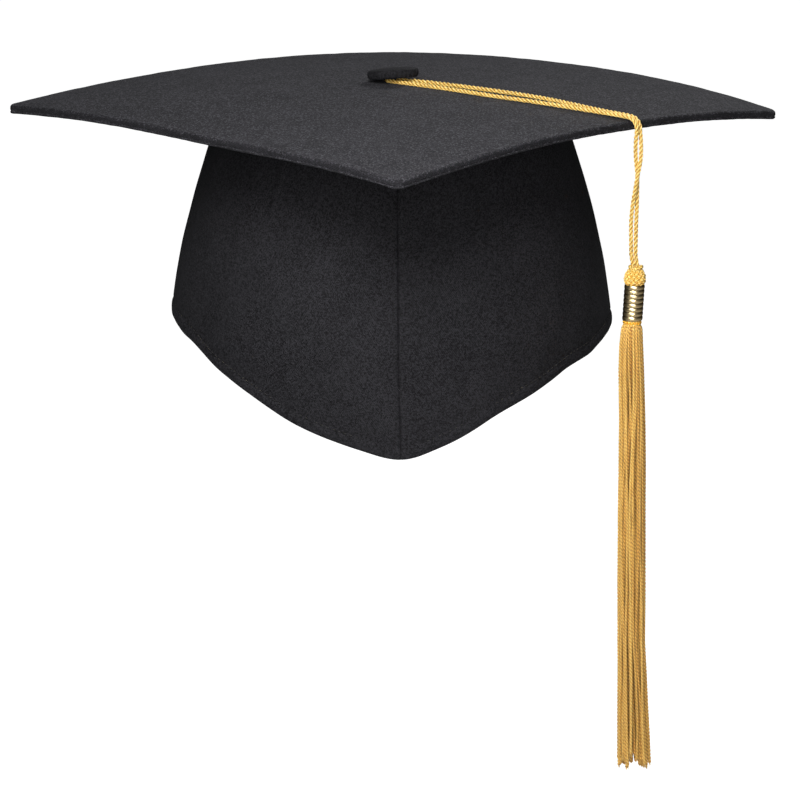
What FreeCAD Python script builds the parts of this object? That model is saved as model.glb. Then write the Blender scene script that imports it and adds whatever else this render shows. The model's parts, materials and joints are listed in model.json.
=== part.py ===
import FreeCAD, Part
import math
import os

# Graduation cap: a bowed square board on a soft skullcap, with a covered button and a corded tassel.
# Millimetres. +Z is up and -Y is the wearer's front. The origin is the centre of the flat crown face
# inside the skullcap, which rests on the top of the head.

Vec = FreeCAD.Vector

# ---- driving dimensions ----
BOARD_SIDE = 241.3          # 9.5 inch square board, over its fabric
BOARD_CORNER_R = 5.0        # plan radius of each corner
BOW_R = 1200.0              # radius of the ball that the bowed board follows
CLOTH = 0.7                 # cover fabric
CORE = 2.4                  # stiff board inside the fabric
LAYER_GAP = 0.05            # air between touching layers
UNDER_APEX_Z = 4.4          # lowest face of the board at its centre

CAP_HALF_WIDTH = 97.4       # skullcap at the ears
CAP_HALF_DEPTH = 93.0       # skullcap at the forehead and the nape
CAP_NARROWING = 0.25        # share by which the skullcap is narrower at the board
WIDEST_Z = -98.3            # level at which the skullcap is widest
CAP_HEIGHT = 102.0          # from there up to the board
CAP_SHAPE_POWER = 1.5       # how round the shoulder is
SIDE_HEM_Z = -95.7          # hem over the ears
FRONT_PEAK_DROP = 46.0      # how far the front point hangs below the side hem
REAR_PEAK_DROP = 10.0       # the same at the nape
HEM_POWER = 3               # how pointed both peaks are
PANEL = 1.2                 # fused panel fabric
SIDE_SEAM_Y = 16.5          # the side seams lie just behind the ears
SEAM_GAP = 0.1              # air between two sewn panels

BAND_HEIGHT = 30.0          # inner band, up from the hem
BAND = 0.7                  # band fabric
ELASTIC_WIDTH = 15.0
ELASTIC = 1.0
TAPE_HALF_WIDTH = 6.0
TAPE = 0.6

LINING = 0.8
STIFFENER = 1.1

POST_R = 1.5                # rivet post that carries the button and the tassel's loop
POST_HOLE_R = 1.7
RIVET_HEAD_R = 3.2
RIVET_HEAD = 0.7
CLINCH_R = 3.0
CLINCH = 0.9
WASHER_R = 5.5
WASHER = 0.8
BUTTON_R = 11.3
BUTTON_HEIGHT = 4.0
BUTTON_TILT_DEG = 8.9       # the cord under one side tips the button
BUTTON_HIGH_SIDE_DEG = -63  # direction of the side that is tipped up
BUTTON_Z = 11.0             # underside of the button on its axis
BUTTON_RIM_Z = 1.7          # level of its widest part above that
BUTTON_FABRIC = 0.6
BUTTON_TIN = 0.5
BUTTON_MOUTH_R = 9.5        # opening in the fabric underneath, closed by the back plate

CORD_R = 0.9
CORD_LIFT = 0.12            # cord above the fabric
LOOP_GAP = 0.15             # loop around the post
RUN_DIRECTION_DEG = -33.7   # the cord runs to the wearer's front left
BEND_R = 5.0                # cord's centre line over the board's edge
BEND_LIFT = 2.2             # centre line above the fabric where the bend starts
LEG_HALF_GAP = 1.05         # half the distance between the two legs at the bend
DROP_RADIUS = 126.0         # the hanging cord's distance from the post
DROP_SPREAD = 1.75          # half the distance between the hanging legs
JOINT_GAP = 0.15            # air between two cord segments

KNOT_TOP_Z = -60.7
KNOT_R = 4.7
KNOT_HEIGHT = 8.2
KNOT_HOLE_R = 2.1
BARREL_R = 4.1
BARREL_BORE_R = 3.6
BARREL_LENGTH = 15.6
RIB_COUNT = 8
RIB_HEIGHT = 0.35
WRAP_R = 0.95               # cord bound round the neck
STRAND_R = 0.55
STRAND_NECK_PITCH = 1.16    # distance between strands at the neck
STRAND_PITCH = 1.9          # and where they hang free
STRAND_FLARE = 26.0         # length over which they spread
SKIRT_END_Z = -285.0        # tip of the longest strand
SKIRT_STAGGER = 12.0        # the shortest strand ends this much higher

# ---- derived heights ----
BALL_CENTRE = Vec(0, 0, UNDER_APEX_Z - BOW_R)
R_UNDER_LOW = BOW_R
R_UNDER_HIGH = R_UNDER_LOW + CLOTH
R_CORE_LOW = R_UNDER_HIGH + LAYER_GAP
R_CORE_HIGH = R_CORE_LOW + CORE
R_TOP_LOW = R_CORE_HIGH + LAYER_GAP
R_TOP_HIGH = R_TOP_LOW + CLOTH
BOARD_TOP_Z = BALL_CENTRE.z + R_TOP_HIGH


def board_top_z(radius):
    """Height of the board's top fabric at a distance from the middle."""
    return BALL_CENTRE.z + math.sqrt(R_TOP_HIGH**2 - radius**2)


# ---- general shapes ----
def ball(radius):
    """Ball that the bowed board follows, turned so that neither of its poles lies on the board."""
    sphere = Part.makeSphere(radius)
    sphere.rotate(Vec(0, 0, 0), Vec(1, 0, 0), 90)
    sphere.translate(BALL_CENTRE)
    return sphere


def disc(radius, z_low, z_high):
    return Part.makeCylinder(radius, z_high - z_low, Vec(0, 0, z_low))


def oval(half_x, half_y, z_low, z_high):
    edge = Part.Ellipse(Vec(0, 0, z_low), half_x, half_y).toShape()
    return Part.Face(Part.Wire(edge)).extrude(Vec(0, 0, z_high - z_low))


def diamond_prism(side, corner_r):
    """Square prism with rounded upright edges and its corners on the X and Y axes."""
    block = Part.makeBox(side, side, 120, Vec(-side / 2, -side / 2, -80))
    if corner_r > 0:
        upright = [e for e in block.Edges if abs(e.tangentAt(e.FirstParameter).z) > 0.9]
        block = block.makeFillet(corner_r, upright)
    block.rotate(Vec(0, 0, 0), Vec(0, 0, 1), 45)
    return block


def revolve(points):
    """Solid of revolution about Z from (radius, z) points; a point marked "arc" is the middle of an arc."""
    edges = []
    here = Vec(points[0][0], 0, points[0][1])
    middle = None
    for point in points[1:] + points[:1]:
        there = Vec(point[0], 0, point[1])
        if len(point) == 3:
            middle = there
            continue
        if middle is not None:
            edges.append(Part.Arc(here, middle, there).toShape())
            middle = None
        elif (there - here).Length > 1e-6:
            edges.append(Part.makeLine(here, there))
        here = there
    return Part.Face(Part.Wire(edges)).revolve(Vec(0, 0, 0), Vec(0, 0, 1), 360)


def cord(points, radius):
    """Round cord along a run of straight lengths with mitred turns."""
    profile = Part.Wire(Part.makeCircle(radius, points[0], points[1] - points[0]))
    return Part.makePolygon(points).makePipeShell([profile], True, False, 1)


# ---- board ----
def board_pieces():
    inner_side = BOARD_SIDE - 2 * CLOTH
    outer = diamond_prism(BOARD_SIDE, BOARD_CORNER_R)
    inner = diamond_prism(inner_side, BOARD_CORNER_R - CLOTH)
    core_prism = diamond_prism(inner_side - 2 * LAYER_GAP, BOARD_CORNER_R - CLOTH)
    hole = disc(POST_HOLE_R, -20, 40)
    core = core_prism.common(ball(R_CORE_HIGH)).cut(ball(R_CORE_LOW)).cut(hole)
    under = core_prism.common(ball(R_UNDER_HIGH)).cut(ball(R_UNDER_LOW)).cut(hole)
    wrapped = outer.common(ball(R_TOP_HIGH)).cut(ball(R_UNDER_LOW))
    pocket = inner.common(ball(R_TOP_LOW))
    return {
        "board_core": core,
        "board_cover_under": under,
        "board_cover_top": wrapped.cut(pocket).cut(hole),
    }


# ---- skullcap ----
def cap_scale(z):
    """Width of the skullcap at a height, as a share of its width at the opening."""
    rise = max(0.0, z - WIDEST_Z) / CAP_HEIGHT
    return 1 - CAP_NARROWING * rise**CAP_SHAPE_POWER


def cap_body(inset):
    """Solid inside the skullcap's wall, inset from its outer face."""
    levels = [SIDE_HEM_Z - FRONT_PEAK_DROP - 10, WIDEST_Z - 20]
    steps = 6
    levels += [WIDEST_Z + i * (CAP_HEIGHT + 6) / steps for i in range(steps + 1)]
    rings = []
    for z in levels:
        share = cap_scale(z)
        ring = Part.Ellipse(Vec(0, 0, z), CAP_HALF_WIDTH * share - inset, CAP_HALF_DEPTH * share - inset)
        rings.append(Part.Wire(ring.toShape()))
    return Part.makeLoft(rings, True, False)


def hem_z(y):
    drop = FRONT_PEAK_DROP if y < 0 else REAR_PEAK_DROP
    return SIDE_HEM_Z - drop * (abs(y) / CAP_HALF_DEPTH) ** HEM_POWER


def hem_curve(above):
    """The hem seen from the side, moved up by a distance."""
    reach, steps = CAP_HALF_DEPTH + 4, 12
    ys = [-reach + 2 * reach * i / steps for i in range(steps + 1)]
    curve = Part.BSplineCurve()
    curve.interpolate([Vec(0, y, hem_z(y) + above) for y in ys])
    return curve.toShape(), ys


def hem_region(low, high=None):
    """Everything between the hem moved up by low and the hem moved up by high, or the board."""
    lower, ys = hem_curve(low)
    start, end = Vec(0, ys[0], hem_z(ys[0]) + low), Vec(0, ys[-1], hem_z(ys[-1]) + low)
    if high is None:
        start_top, end_top = Vec(0, ys[0], 30), Vec(0, ys[-1], 30)
        upper = Part.makeLine(end_top, start_top)
    else:
        upper, _ = hem_curve(high)
        start_top, end_top = Vec(0, ys[0], hem_z(ys[0]) + high), Vec(0, ys[-1], hem_z(ys[-1]) + high)
    edges = [lower, Part.makeLine(end, end_top), upper, Part.makeLine(start_top, start)]
    face = Part.Face(Part.Wire(Part.__sortEdges__(edges)))
    face.translate(Vec(-150, 0, 0))
    return face.extrude(Vec(300, 0, 0))


def slab(x_low, x_high, y_low, y_high):
    return Part.makeBox(x_high - x_low, y_high - y_low, 240, Vec(x_low, y_low, -180))


def wall(inset, thickness):
    return cap_body(inset).cut(cap_body(inset + thickness))


def skullcap_pieces():
    gap = SEAM_GAP / 2
    shell = wall(0, PANEL).common(hem_region(0)).common(ball(R_UNDER_LOW - LAYER_GAP))
    band_inset = PANEL + LAYER_GAP
    band = wall(band_inset, BAND).common(hem_region(1.0, BAND_HEIGHT))
    elastic_strip = wall(band_inset, ELASTIC).common(hem_region(3.0, 3.0 + ELASTIC_WIDTH))
    casing_inset = band_inset + ELASTIC + LAYER_GAP
    casing = wall(casing_inset, BAND).common(hem_region(1.0, BAND_HEIGHT))
    tape_ring = wall(band_inset, TAPE).common(hem_region(BAND_HEIGHT + 1)).common(disc(200, -180, -0.3))
    seam_y, end = SIDE_SEAM_Y, 110
    return {
        "front_panel_right": shell.common(slab(-end, -gap, -end, seam_y - gap)),
        "front_panel_left": shell.common(slab(gap, end, -end, seam_y - gap)),
        "rear_panel": shell.common(slab(-end, end, seam_y + gap, end)),
        "sweatband": band.common(slab(-end, end, -end, seam_y - gap)),
        "elastic_band": elastic_strip.common(slab(-end, end, seam_y + 4, end)),
        "elastic_casing": casing.common(slab(-end, end, seam_y + gap, end)),
        "front_seam_tape": tape_ring.common(slab(-TAPE_HALF_WIDTH, TAPE_HALF_WIDTH, -end, 0)),
        "side_seam_tapes": tape_ring.common(
            slab(-end, end, seam_y - TAPE_HALF_WIDTH, seam_y + TAPE_HALF_WIDTH)
        ),
    }


def crown_pieces():
    crown_x = CAP_HALF_WIDTH * cap_scale(0) - PANEL - 1.8
    crown_y = CAP_HALF_DEPTH * cap_scale(0) - PANEL - 1.8
    stiffener_low = LINING + LAYER_GAP
    edge = 3.0
    return {
        "crown_lining": oval(crown_x, crown_y, 0, LINING),
        "crown_stiffener": oval(crown_x - edge, crown_y - edge, stiffener_low, stiffener_low + STIFFENER),
    }


# ---- button ----
def rivet_pieces():
    washer_top = UNDER_APEX_Z - 0.1
    washer_low = washer_top - WASHER
    clinch_low = washer_low - CLINCH
    head_low = BUTTON_Z + 1.5
    post = disc(POST_R, clinch_low, head_low + RIVET_HEAD)
    clinch = disc(CLINCH_R, clinch_low, washer_low)
    head = disc(RIVET_HEAD_R, head_low, head_low + RIVET_HEAD)
    return {
        "rivet_post": post.fuse([clinch, head]).removeSplitter(),
        "rivet_washer": disc(WASHER_R, washer_low, washer_top).cut(disc(POST_R + 0.1, 0, 10)),
    }


def button_disc(inset, foot_z):
    """Solid disc with a domed top, inset from the button's outer face and flat below at foot_z."""
    side_r, top = BUTTON_R - inset, BUTTON_HEIGHT - inset
    return revolve([
        (0, foot_z),
        (0, top),
        (side_r * 0.72, top - 0.2 * (top - BUTTON_RIM_Z), "arc"),
        (side_r * 0.93, BUTTON_RIM_Z + (top - BUTTON_RIM_Z) * 0.62),
        (side_r, BUTTON_RIM_Z),
        (side_r - 0.55, foot_z + 0.45, "arc"),
        (side_r - 1.5, foot_z),
    ])


def button_cup(inset, thickness, mouth_r):
    """One layer of the button, open underneath within mouth_r."""
    mouth = disc(mouth_r, inset - 1, inset + thickness + 0.2)
    outer = button_disc(inset, inset)
    inner = button_disc(inset + thickness, inset + thickness)
    return outer.cut(inner).cut(mouth)


def button_pieces():
    """Cover, shell and back plate, drawn on a level axis and then tipped."""
    back_r = BUTTON_MOUTH_R - 0.2
    pieces = {
        "button_cover": button_cup(0, BUTTON_FABRIC, BUTTON_MOUTH_R),
        "button_shell": button_cup(BUTTON_FABRIC + LAYER_GAP, BUTTON_TIN, BUTTON_MOUTH_R + 0.4),
        "button_back": disc(back_r, 0.0, 0.9).cut(disc(POST_R + 0.5, -1, 2)),
    }
    high_side = math.radians(BUTTON_HIGH_SIDE_DEG)
    tilt_axis = Vec(-math.sin(high_side), math.cos(high_side), 0)
    for shape in pieces.values():
        shape.translate(Vec(0, 0, BUTTON_Z))
        shape.rotate(Vec(0, 0, BUTTON_Z), tilt_axis, -BUTTON_TILT_DEG)
    return pieces


# ---- cord and tassel, drawn along +X and then turned to the run's direction ----
def run_slope():
    """Direction of the run where the bend starts, as an angle below level."""
    return math.asin((DROP_RADIUS - BEND_R) / R_TOP_HIGH)


def bend_geometry():
    """Start, centre of curvature and end of the bend's centre line, in the plane of the run."""
    slope = run_slope()
    centre_x = DROP_RADIUS - BEND_R
    start_x = centre_x + BEND_R * math.sin(slope)
    start_z = board_top_z(start_x) + BEND_LIFT
    centre_z = start_z - BEND_R * math.cos(slope)
    return Vec(start_x, 0, start_z), Vec(centre_x, 0, centre_z), Vec(DROP_RADIUS, 0, centre_z)


def swing_pivot():
    """Point about which the hanging cord swings."""
    return bend_geometry()[2] - Vec(0, 0, CORD_R + JOINT_GAP)


def leg_half_gap(x):
    """Half the distance between the two legs of the cord along the board."""
    at_post, at_bend = (0, POST_R + LOOP_GAP + CORD_R), (bend_geometry()[0].x, LEG_HALF_GAP)
    laid = [at_post, (15, 3.8), (35, 4.3), (60, 4.4), (78, 3.9), (93, 2.2), (107, 1.2), at_bend]
    for (x0, g0), (x1, g1) in zip(laid, laid[1:]):
        if x <= x1:
            return g0 + (g1 - g0) * (x - x0) / (x1 - x0)
    return LEG_HALF_GAP


def loop_and_run():
    """Loop round the post and both legs along the board, as one cord."""
    start = bend_geometry()[0]
    end = start - Vec(1, 0, -math.tan(run_slope())) * JOINT_GAP
    rise_from = 93
    rise = end.z - board_top_z(end.x) - CORD_R - CORD_LIFT
    leg = []
    for x in (15, 35, 60, 78, rise_from, 107):
        half_gap = leg_half_gap(x)
        near_end = max(0.0, (x - rise_from) / (end.x - rise_from))
        z = board_top_z(math.hypot(x, half_gap)) + CORD_R + CORD_LIFT + rise * near_end**2
        leg.append(Vec(x, half_gap, z))
    last_straight = end - Vec(1, 0, -math.tan(run_slope())) * 2.0
    leg += [last_straight + Vec(0, LEG_HALF_GAP, 0), end + Vec(0, LEG_HALF_GAP, 0)]
    loop_r = leg_half_gap(0)
    height = board_top_z(loop_r) + CORD_R + CORD_LIFT
    turn_steps = 10
    turn = [math.pi / 2 + math.pi * i / turn_steps for i in range(turn_steps + 1)]
    loop = [Vec(loop_r * math.cos(a), loop_r * math.sin(a), height) for a in turn]
    return cord(leg[::-1] + loop + [Vec(p.x, -p.y, p.z) for p in leg], CORD_R)


def bend_legs():
    centre = bend_geometry()[1]
    first, steps = run_slope(), 7
    angles = [first + (math.pi / 2 - first) * i / steps for i in range(steps + 1)]
    legs = []
    for side in (1, -1):
        beside = centre + Vec(0, side * LEG_HALF_GAP, 0)
        points = [beside + Vec(math.sin(a), 0, math.cos(a)) * BEND_R for a in angles]
        legs.append(cord(points, CORD_R))
    return Part.makeCompound(legs)


def drop_legs():
    pivot = swing_pivot()
    length = pivot.z - (KNOT_TOP_Z - 3.0)
    half_gaps = [(0, LEG_HALF_GAP), (0.08, LEG_HALF_GAP + 0.15), (0.28, DROP_SPREAD), (0.6, DROP_SPREAD),
                 (0.85, CORD_R + 0.1), (1, CORD_R + 0.05)]
    legs = []
    for side in (1, -1):
        points = [Vec(pivot.x, side * g, pivot.z - share * length) for share, g in half_gaps]
        legs.append(cord(points, CORD_R).fuse(Part.makeSphere(CORD_R, points[0])))
    return Part.makeCompound(legs)


def barrel():
    top = KNOT_TOP_Z - KNOT_HEIGHT
    low = top - BARREL_LENGTH
    rib = BARREL_LENGTH / RIB_COUNT
    points = [(BARREL_BORE_R, low), (BARREL_R, low)]
    for i in range(RIB_COUNT):
        base = low + i * rib
        points.append((BARREL_R + RIB_HEIGHT, base + rib * 0.3))
        points.append((BARREL_R + RIB_HEIGHT, base + rib * 0.7))
        points.append((BARREL_R, base + rib))
    points.append((BARREL_BORE_R, top))
    return revolve(points)


def knot():
    top, low = KNOT_TOP_Z, KNOT_TOP_Z - KNOT_HEIGHT + LAYER_GAP
    return revolve([
        (KNOT_HOLE_R, top - 4.0),
        (KNOT_HOLE_R, top),
        (KNOT_HOLE_R + 0.5, top),
        (KNOT_R - 0.6, top - 2.6, "arc"),
        (KNOT_R, top - 5.4),
        (KNOT_R - 0.25, low + 1.2, "arc"),
        (KNOT_R - 0.8, low),
        (0, low),
        (0, top - 4.0),
    ])


def strand_core():
    """Gathered heads of the strands, held by the barrel and bound at the neck."""
    top = KNOT_TOP_Z - KNOT_HEIGHT
    barrel_low = top - BARREL_LENGTH
    neck_low = barrel_low - 2 * WRAP_R
    body_r, neck_r, foot_r = BARREL_BORE_R - 0.05, 1.9, 4.0
    return revolve([
        (0, top), (body_r, top), (body_r, barrel_low), (neck_r, barrel_low),
        (neck_r, neck_low), (foot_r, neck_low), (foot_r, neck_low - 0.7), (0, neck_low - 0.7),
    ])


def neck_wrap():
    """Binding cord round the neck, as a ring with an eight-sided section."""
    z = KNOT_TOP_Z - KNOT_HEIGHT - BARREL_LENGTH - WRAP_R
    section_r, ring_r = WRAP_R - 0.03, 1.95 + WRAP_R
    angles = [math.radians(22.5 + 45 * i) for i in range(8)]
    return revolve([(ring_r + section_r * math.cos(a), z + section_r * math.sin(a)) for a in angles])


def hexagon_places(ring):
    """Places of one ring of a hexagonal packing, in pitches."""
    if ring == 0:
        return [(0.0, 0.0)]
    corners = [(ring * math.cos(a * math.pi / 3), ring * math.sin(a * math.pi / 3)) for a in range(7)]
    places = []
    for (x0, y0), (x1, y1) in zip(corners, corners[1:]):
        places += [(x0 + (x1 - x0) * i / ring, y0 + (y1 - y0) * i / ring) for i in range(ring)]
    return places


def strand(spot, end_z):
    """One strand, from its place in the packing, down the flare and then straight to its end."""
    top = KNOT_TOP_Z - KNOT_HEIGHT - BARREL_LENGTH - 2 * WRAP_R - 0.75
    head = spot * STRAND_NECK_PITCH + Vec(0, 0, top)
    spread = spot * STRAND_PITCH + Vec(0, 0, top - STRAND_FLARE)
    hanging = Part.makeCylinder(STRAND_R, spread.z - end_z, spread, Vec(0, 0, -1))
    if spot.Length < 1e-6:
        return Part.makeCylinder(STRAND_R, head.z - end_z, head, Vec(0, 0, -1))
    slope = Part.makeCylinder(STRAND_R, (spread - head).Length, head, spread - head)
    return slope.fuse([Part.makeSphere(STRAND_R, spread), hanging])


def strands(rings):
    """Strands that leave the neck close together, spread, and hang to uneven ends."""
    solids = []
    for ring in rings:
        for number, (x, y) in enumerate(hexagon_places(ring)):
            end = SKIRT_END_Z + SKIRT_STAGGER * (0.5 + 0.5 * math.sin(5.1 * number + 2.3 * ring))
            solids.append(strand(Vec(x, y, 0), end))
    return Part.makeCompound(solids)


def tassel_pieces():
    """The hanging tassel, drawn about the Z axis and moved out to the hanging cord."""
    pieces = {
        "tassel_knot": knot(),
        "tassel_barrel": barrel(),
        "strand_core": strand_core(),
        "neck_wrap": neck_wrap(),
        "skirt_strands_inner": strands([0, 1, 2]),
        "skirt_strands_outer": strands([3]),
    }
    for shape in pieces.values():
        shape.translate(Vec(DROP_RADIUS, 0, 0))
    return pieces


def cord_pieces():
    pieces = {
        "cord_loop_run": loop_and_run(),
        "cord_bend_legs": bend_legs(),
        "cord_drop_legs": drop_legs(),
    }
    pieces.update(tassel_pieces())
    for shape in pieces.values():
        shape.rotate(Vec(0, 0, 0), Vec(0, 0, 1), RUN_DIRECTION_DEG)
    return pieces


def main():
    os.makedirs("parts", exist_ok=True)
    pieces = {}
    for group in (board_pieces, skullcap_pieces, crown_pieces, rivet_pieces, button_pieces, cord_pieces):
        pieces.update(group())
    for name, shape in pieces.items():
        solids = shape.Solids
        assert solids and all(s.isValid() and s.Volume > 0 for s in solids), name
        shape = solids[0] if len(solids) == 1 else Part.makeCompound(solids)
        shape.exportStep(f"parts/{name}.step")
        box = shape.BoundBox
        print(f"{name}: {len(solids)} solids, z {box.ZMin:.1f} to {box.ZMax:.1f}, {shape.Volume:.0f} mm3")


main()
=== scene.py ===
import json
import math

import bpy
import numpy as np
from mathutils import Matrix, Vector


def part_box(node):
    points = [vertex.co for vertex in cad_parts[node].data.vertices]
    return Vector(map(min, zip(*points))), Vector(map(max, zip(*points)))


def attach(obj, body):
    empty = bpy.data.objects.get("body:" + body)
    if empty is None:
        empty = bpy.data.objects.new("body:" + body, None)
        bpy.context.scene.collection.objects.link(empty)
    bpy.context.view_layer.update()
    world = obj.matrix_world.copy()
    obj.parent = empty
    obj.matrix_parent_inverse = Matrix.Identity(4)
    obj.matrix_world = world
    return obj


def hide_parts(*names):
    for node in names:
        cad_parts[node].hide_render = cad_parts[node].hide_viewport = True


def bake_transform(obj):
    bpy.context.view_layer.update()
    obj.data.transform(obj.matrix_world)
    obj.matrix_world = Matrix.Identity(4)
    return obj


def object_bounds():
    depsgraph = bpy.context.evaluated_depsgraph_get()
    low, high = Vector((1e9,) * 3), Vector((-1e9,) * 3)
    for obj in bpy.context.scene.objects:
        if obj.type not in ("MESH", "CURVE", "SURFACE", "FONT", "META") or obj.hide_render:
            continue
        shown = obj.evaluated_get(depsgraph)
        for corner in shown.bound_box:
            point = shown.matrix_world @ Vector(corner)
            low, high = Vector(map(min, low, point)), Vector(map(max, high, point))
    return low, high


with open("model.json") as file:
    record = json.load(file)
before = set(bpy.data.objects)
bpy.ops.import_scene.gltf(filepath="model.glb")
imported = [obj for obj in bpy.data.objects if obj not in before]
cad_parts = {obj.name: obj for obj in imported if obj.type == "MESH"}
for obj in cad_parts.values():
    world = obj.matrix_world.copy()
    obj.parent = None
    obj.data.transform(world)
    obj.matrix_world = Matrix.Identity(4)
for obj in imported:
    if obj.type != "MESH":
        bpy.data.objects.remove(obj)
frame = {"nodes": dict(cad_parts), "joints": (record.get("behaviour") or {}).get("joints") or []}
CAD_BOX = [list(corner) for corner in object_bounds()]

# The scene is worked out in millimetres and turned into metres when a mesh is made.
MM = 0.001
TAU = 2 * math.pi
rng = np.random.default_rng(11)


def box_mm(node):
    """Corners of a CAD node's box."""
    low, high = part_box(node)
    return np.array(low) / MM, np.array(high) / MM


def joint(name):
    return next(j for j in frame["joints"] if j["name"] == name)


def smoothstep(low, high, x):
    """Rises smoothly from 0 at low to 1 at high."""
    t = np.clip((x - low) / (high - low), 0, 1)
    return t * t * (3 - 2 * t)


def bump(x, centre, width):
    """Bell curve of unit height."""
    return np.exp(-(((x - centre) / width) ** 2))


def points_at(*coordinates):
    """Points from their coordinates."""
    return np.stack(np.broadcast_arrays(*coordinates), axis=-1)


def rotated(x, y, angle):
    """A plane vector turned by an angle."""
    c, s = np.cos(angle), np.sin(angle)
    return x * c - y * s, x * s + y * c


def waves(u, v, longest, count, seed, stretch=1.0):
    """Smooth random field of unit size over u and v in mm, made of plane waves."""
    r = np.random.default_rng(seed)
    total = np.zeros(np.broadcast(u, v).shape)
    for k in range(count):
        length = longest * 0.5 ** (k / 3)
        angle, phase = r.uniform(0, TAU, 2)
        total = total + (length / longest) * np.sin(
            TAU * (u * math.cos(angle) + v * stretch * math.sin(angle)) / length + phase
        )
    return total / math.sqrt(count)


# ------------ meshes
class Builder:
    """Gathers grids of points, in mm, into one mesh."""

    def __init__(self):
        self.points, self.quads, self.uvs = [], [], []
        self.fields = {}
        self.count = 0

    def grid(self, p, uv=None, wrap=False, flip=False, **fields):
        """p is rows x columns x 3. When the columns wrap round, uv may have one column more."""
        rows, cols = p.shape[:2]
        index = np.arange(rows * cols).reshape(rows, cols) + self.count
        if wrap:
            index = np.concatenate([index, index[:, :1]], axis=1)
        if uv is None:
            uv = np.zeros(index.shape + (2,))
        if uv.shape[1] < index.shape[1]:
            uv = np.concatenate([uv, uv[:, :1]], axis=1)

        def corners(a):
            return np.stack([a[:-1, :-1], a[:-1, 1:], a[1:, 1:], a[1:, :-1]], axis=2)

        quads = corners(index).reshape(-1, 4)
        quad_uv = corners(uv).reshape(-1, 4, 2)
        if flip:
            quads, quad_uv = quads[:, ::-1], quad_uv[:, ::-1]
        self.points.append(p.reshape(-1, 3))
        self.quads.append(quads)
        self.uvs.append(quad_uv.reshape(-1, 2))
        for name in ("crest", "tone"):
            value = np.broadcast_to(fields.get(name, 0.5), (rows, cols))
            self.fields.setdefault(name, []).append(value.reshape(-1))
        self.count += rows * cols

    def make(self, name, material, body, *replaced, slot=None):
        points = np.concatenate(self.points) * MM
        quads = np.concatenate(self.quads).astype(np.int32)
        mesh = bpy.data.meshes.new(name)
        mesh.vertices.add(len(points))
        mesh.vertices.foreach_set("co", points.astype(np.float32).ravel())
        mesh.loops.add(quads.size)
        mesh.loops.foreach_set("vertex_index", quads.ravel())
        mesh.polygons.add(len(quads))
        mesh.polygons.foreach_set("loop_start", np.arange(0, quads.size, 4, dtype=np.int32))
        mesh.polygons.foreach_set("use_smooth", np.ones(len(quads), bool))
        layer = mesh.uv_layers.new(name="UVMap")
        layer.data.foreach_set("uv", np.concatenate(self.uvs).astype(np.float32).ravel())
        for field, values in self.fields.items():
            attribute = mesh.attributes.new(field, "FLOAT", "POINT")
            attribute.data.foreach_set("value", np.concatenate(values).astype(np.float32))
        mesh.update(calc_edges=True)
        mesh.validate()
        mesh.materials.append(material)
        piece = bpy.data.objects.new(name, mesh)
        bpy.context.scene.collection.objects.link(piece)
        if isinstance(body, str):
            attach(piece, body)
        elif body is not None:
            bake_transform(piece)
        if replaced:
            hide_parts(*replaced)
        return piece


def frames(path):
    """Unit tangents and two normals carried along a path without twisting."""
    tangent = np.gradient(path, axis=0)
    tangent /= np.linalg.norm(tangent, axis=1, keepdims=True)
    first = np.cross(tangent[0], [0.31, 0.87, 0.39])
    normal = np.zeros_like(path)
    normal[0] = first / np.linalg.norm(first)
    for i in range(1, len(path)):
        n = normal[i - 1] - tangent[i] * np.dot(normal[i - 1], tangent[i])
        normal[i] = n / np.linalg.norm(n)
    return tangent, normal, np.cross(tangent, normal)


def lengths(path):
    """Distance along a path at each of its points."""
    steps = np.linalg.norm(np.diff(path, axis=0), axis=1)
    return np.concatenate([[0], np.cumsum(steps)])


def sample(path, s, at):
    """Values of a path, whose points stand at distances s, at other distances along it."""
    return np.stack([np.interp(at, s, column) for column in path.T], axis=1)


def resample(path, step):
    """The same path with its points an even step apart."""
    s = lengths(path)
    count = max(2, int(round(s[-1] / step)) + 1)
    return sample(path, s, np.linspace(0, s[-1], count))


def smooth(path, rounds):
    """Rounds off the kinks of a path or a row of values, ends held."""
    path = path.copy()
    for _ in range(rounds):
        path[1:-1] = path[1:-1] * 0.5 + (path[:-2] + path[2:]) * 0.25
    return path


def rope_grid(path, radius, plies, pitch, around, phase=0.0, hand=1, shrink=None):
    """Surface of a laid rope: its points, uv in mm, and how far each point stands out of the grooves."""
    _, n, b = frames(path)
    s = lengths(path)
    lobe = 1 / (1 + 1 / math.sin(math.pi / plies)) if plies > 2 else 0.5
    reach = 1 - lobe
    a = np.arange(around) / around * TAU
    twist = hand * s / pitch * TAU + phase
    local = a - twist[:, None]
    wedge = (local + math.pi / plies) % (TAU / plies) - math.pi / plies
    inside = np.maximum(lobe**2 - (reach * np.sin(wedge)) ** 2, 0)
    shape = np.maximum(reach * np.cos(wedge) + np.sqrt(inside), 0.62)
    crest = (shape - shape.min()) / (shape.max() - shape.min() + 1e-9)
    r = radius * shape
    if shrink is not None:
        r = r * shrink[:, None]
    ring = np.cos(a)[None, :, None] * n[:, None, :] + np.sin(a)[None, :, None] * b[:, None, :]
    p = path[:, None, :] + ring * r[:, :, None]
    uv = points_at(np.arange(around + 1) / around * TAU * radius, s[:, None])
    return p, uv, crest


def end_taper(count, rings=3):
    """Share of a rope's radius at each ring, closed over the first and last few rings."""
    t = np.ones(count)
    closing = np.linspace(0.02, 1, rings + 1)[:rings]
    t[:rings], t[-rings:] = closing, closing[::-1]
    return t


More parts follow.
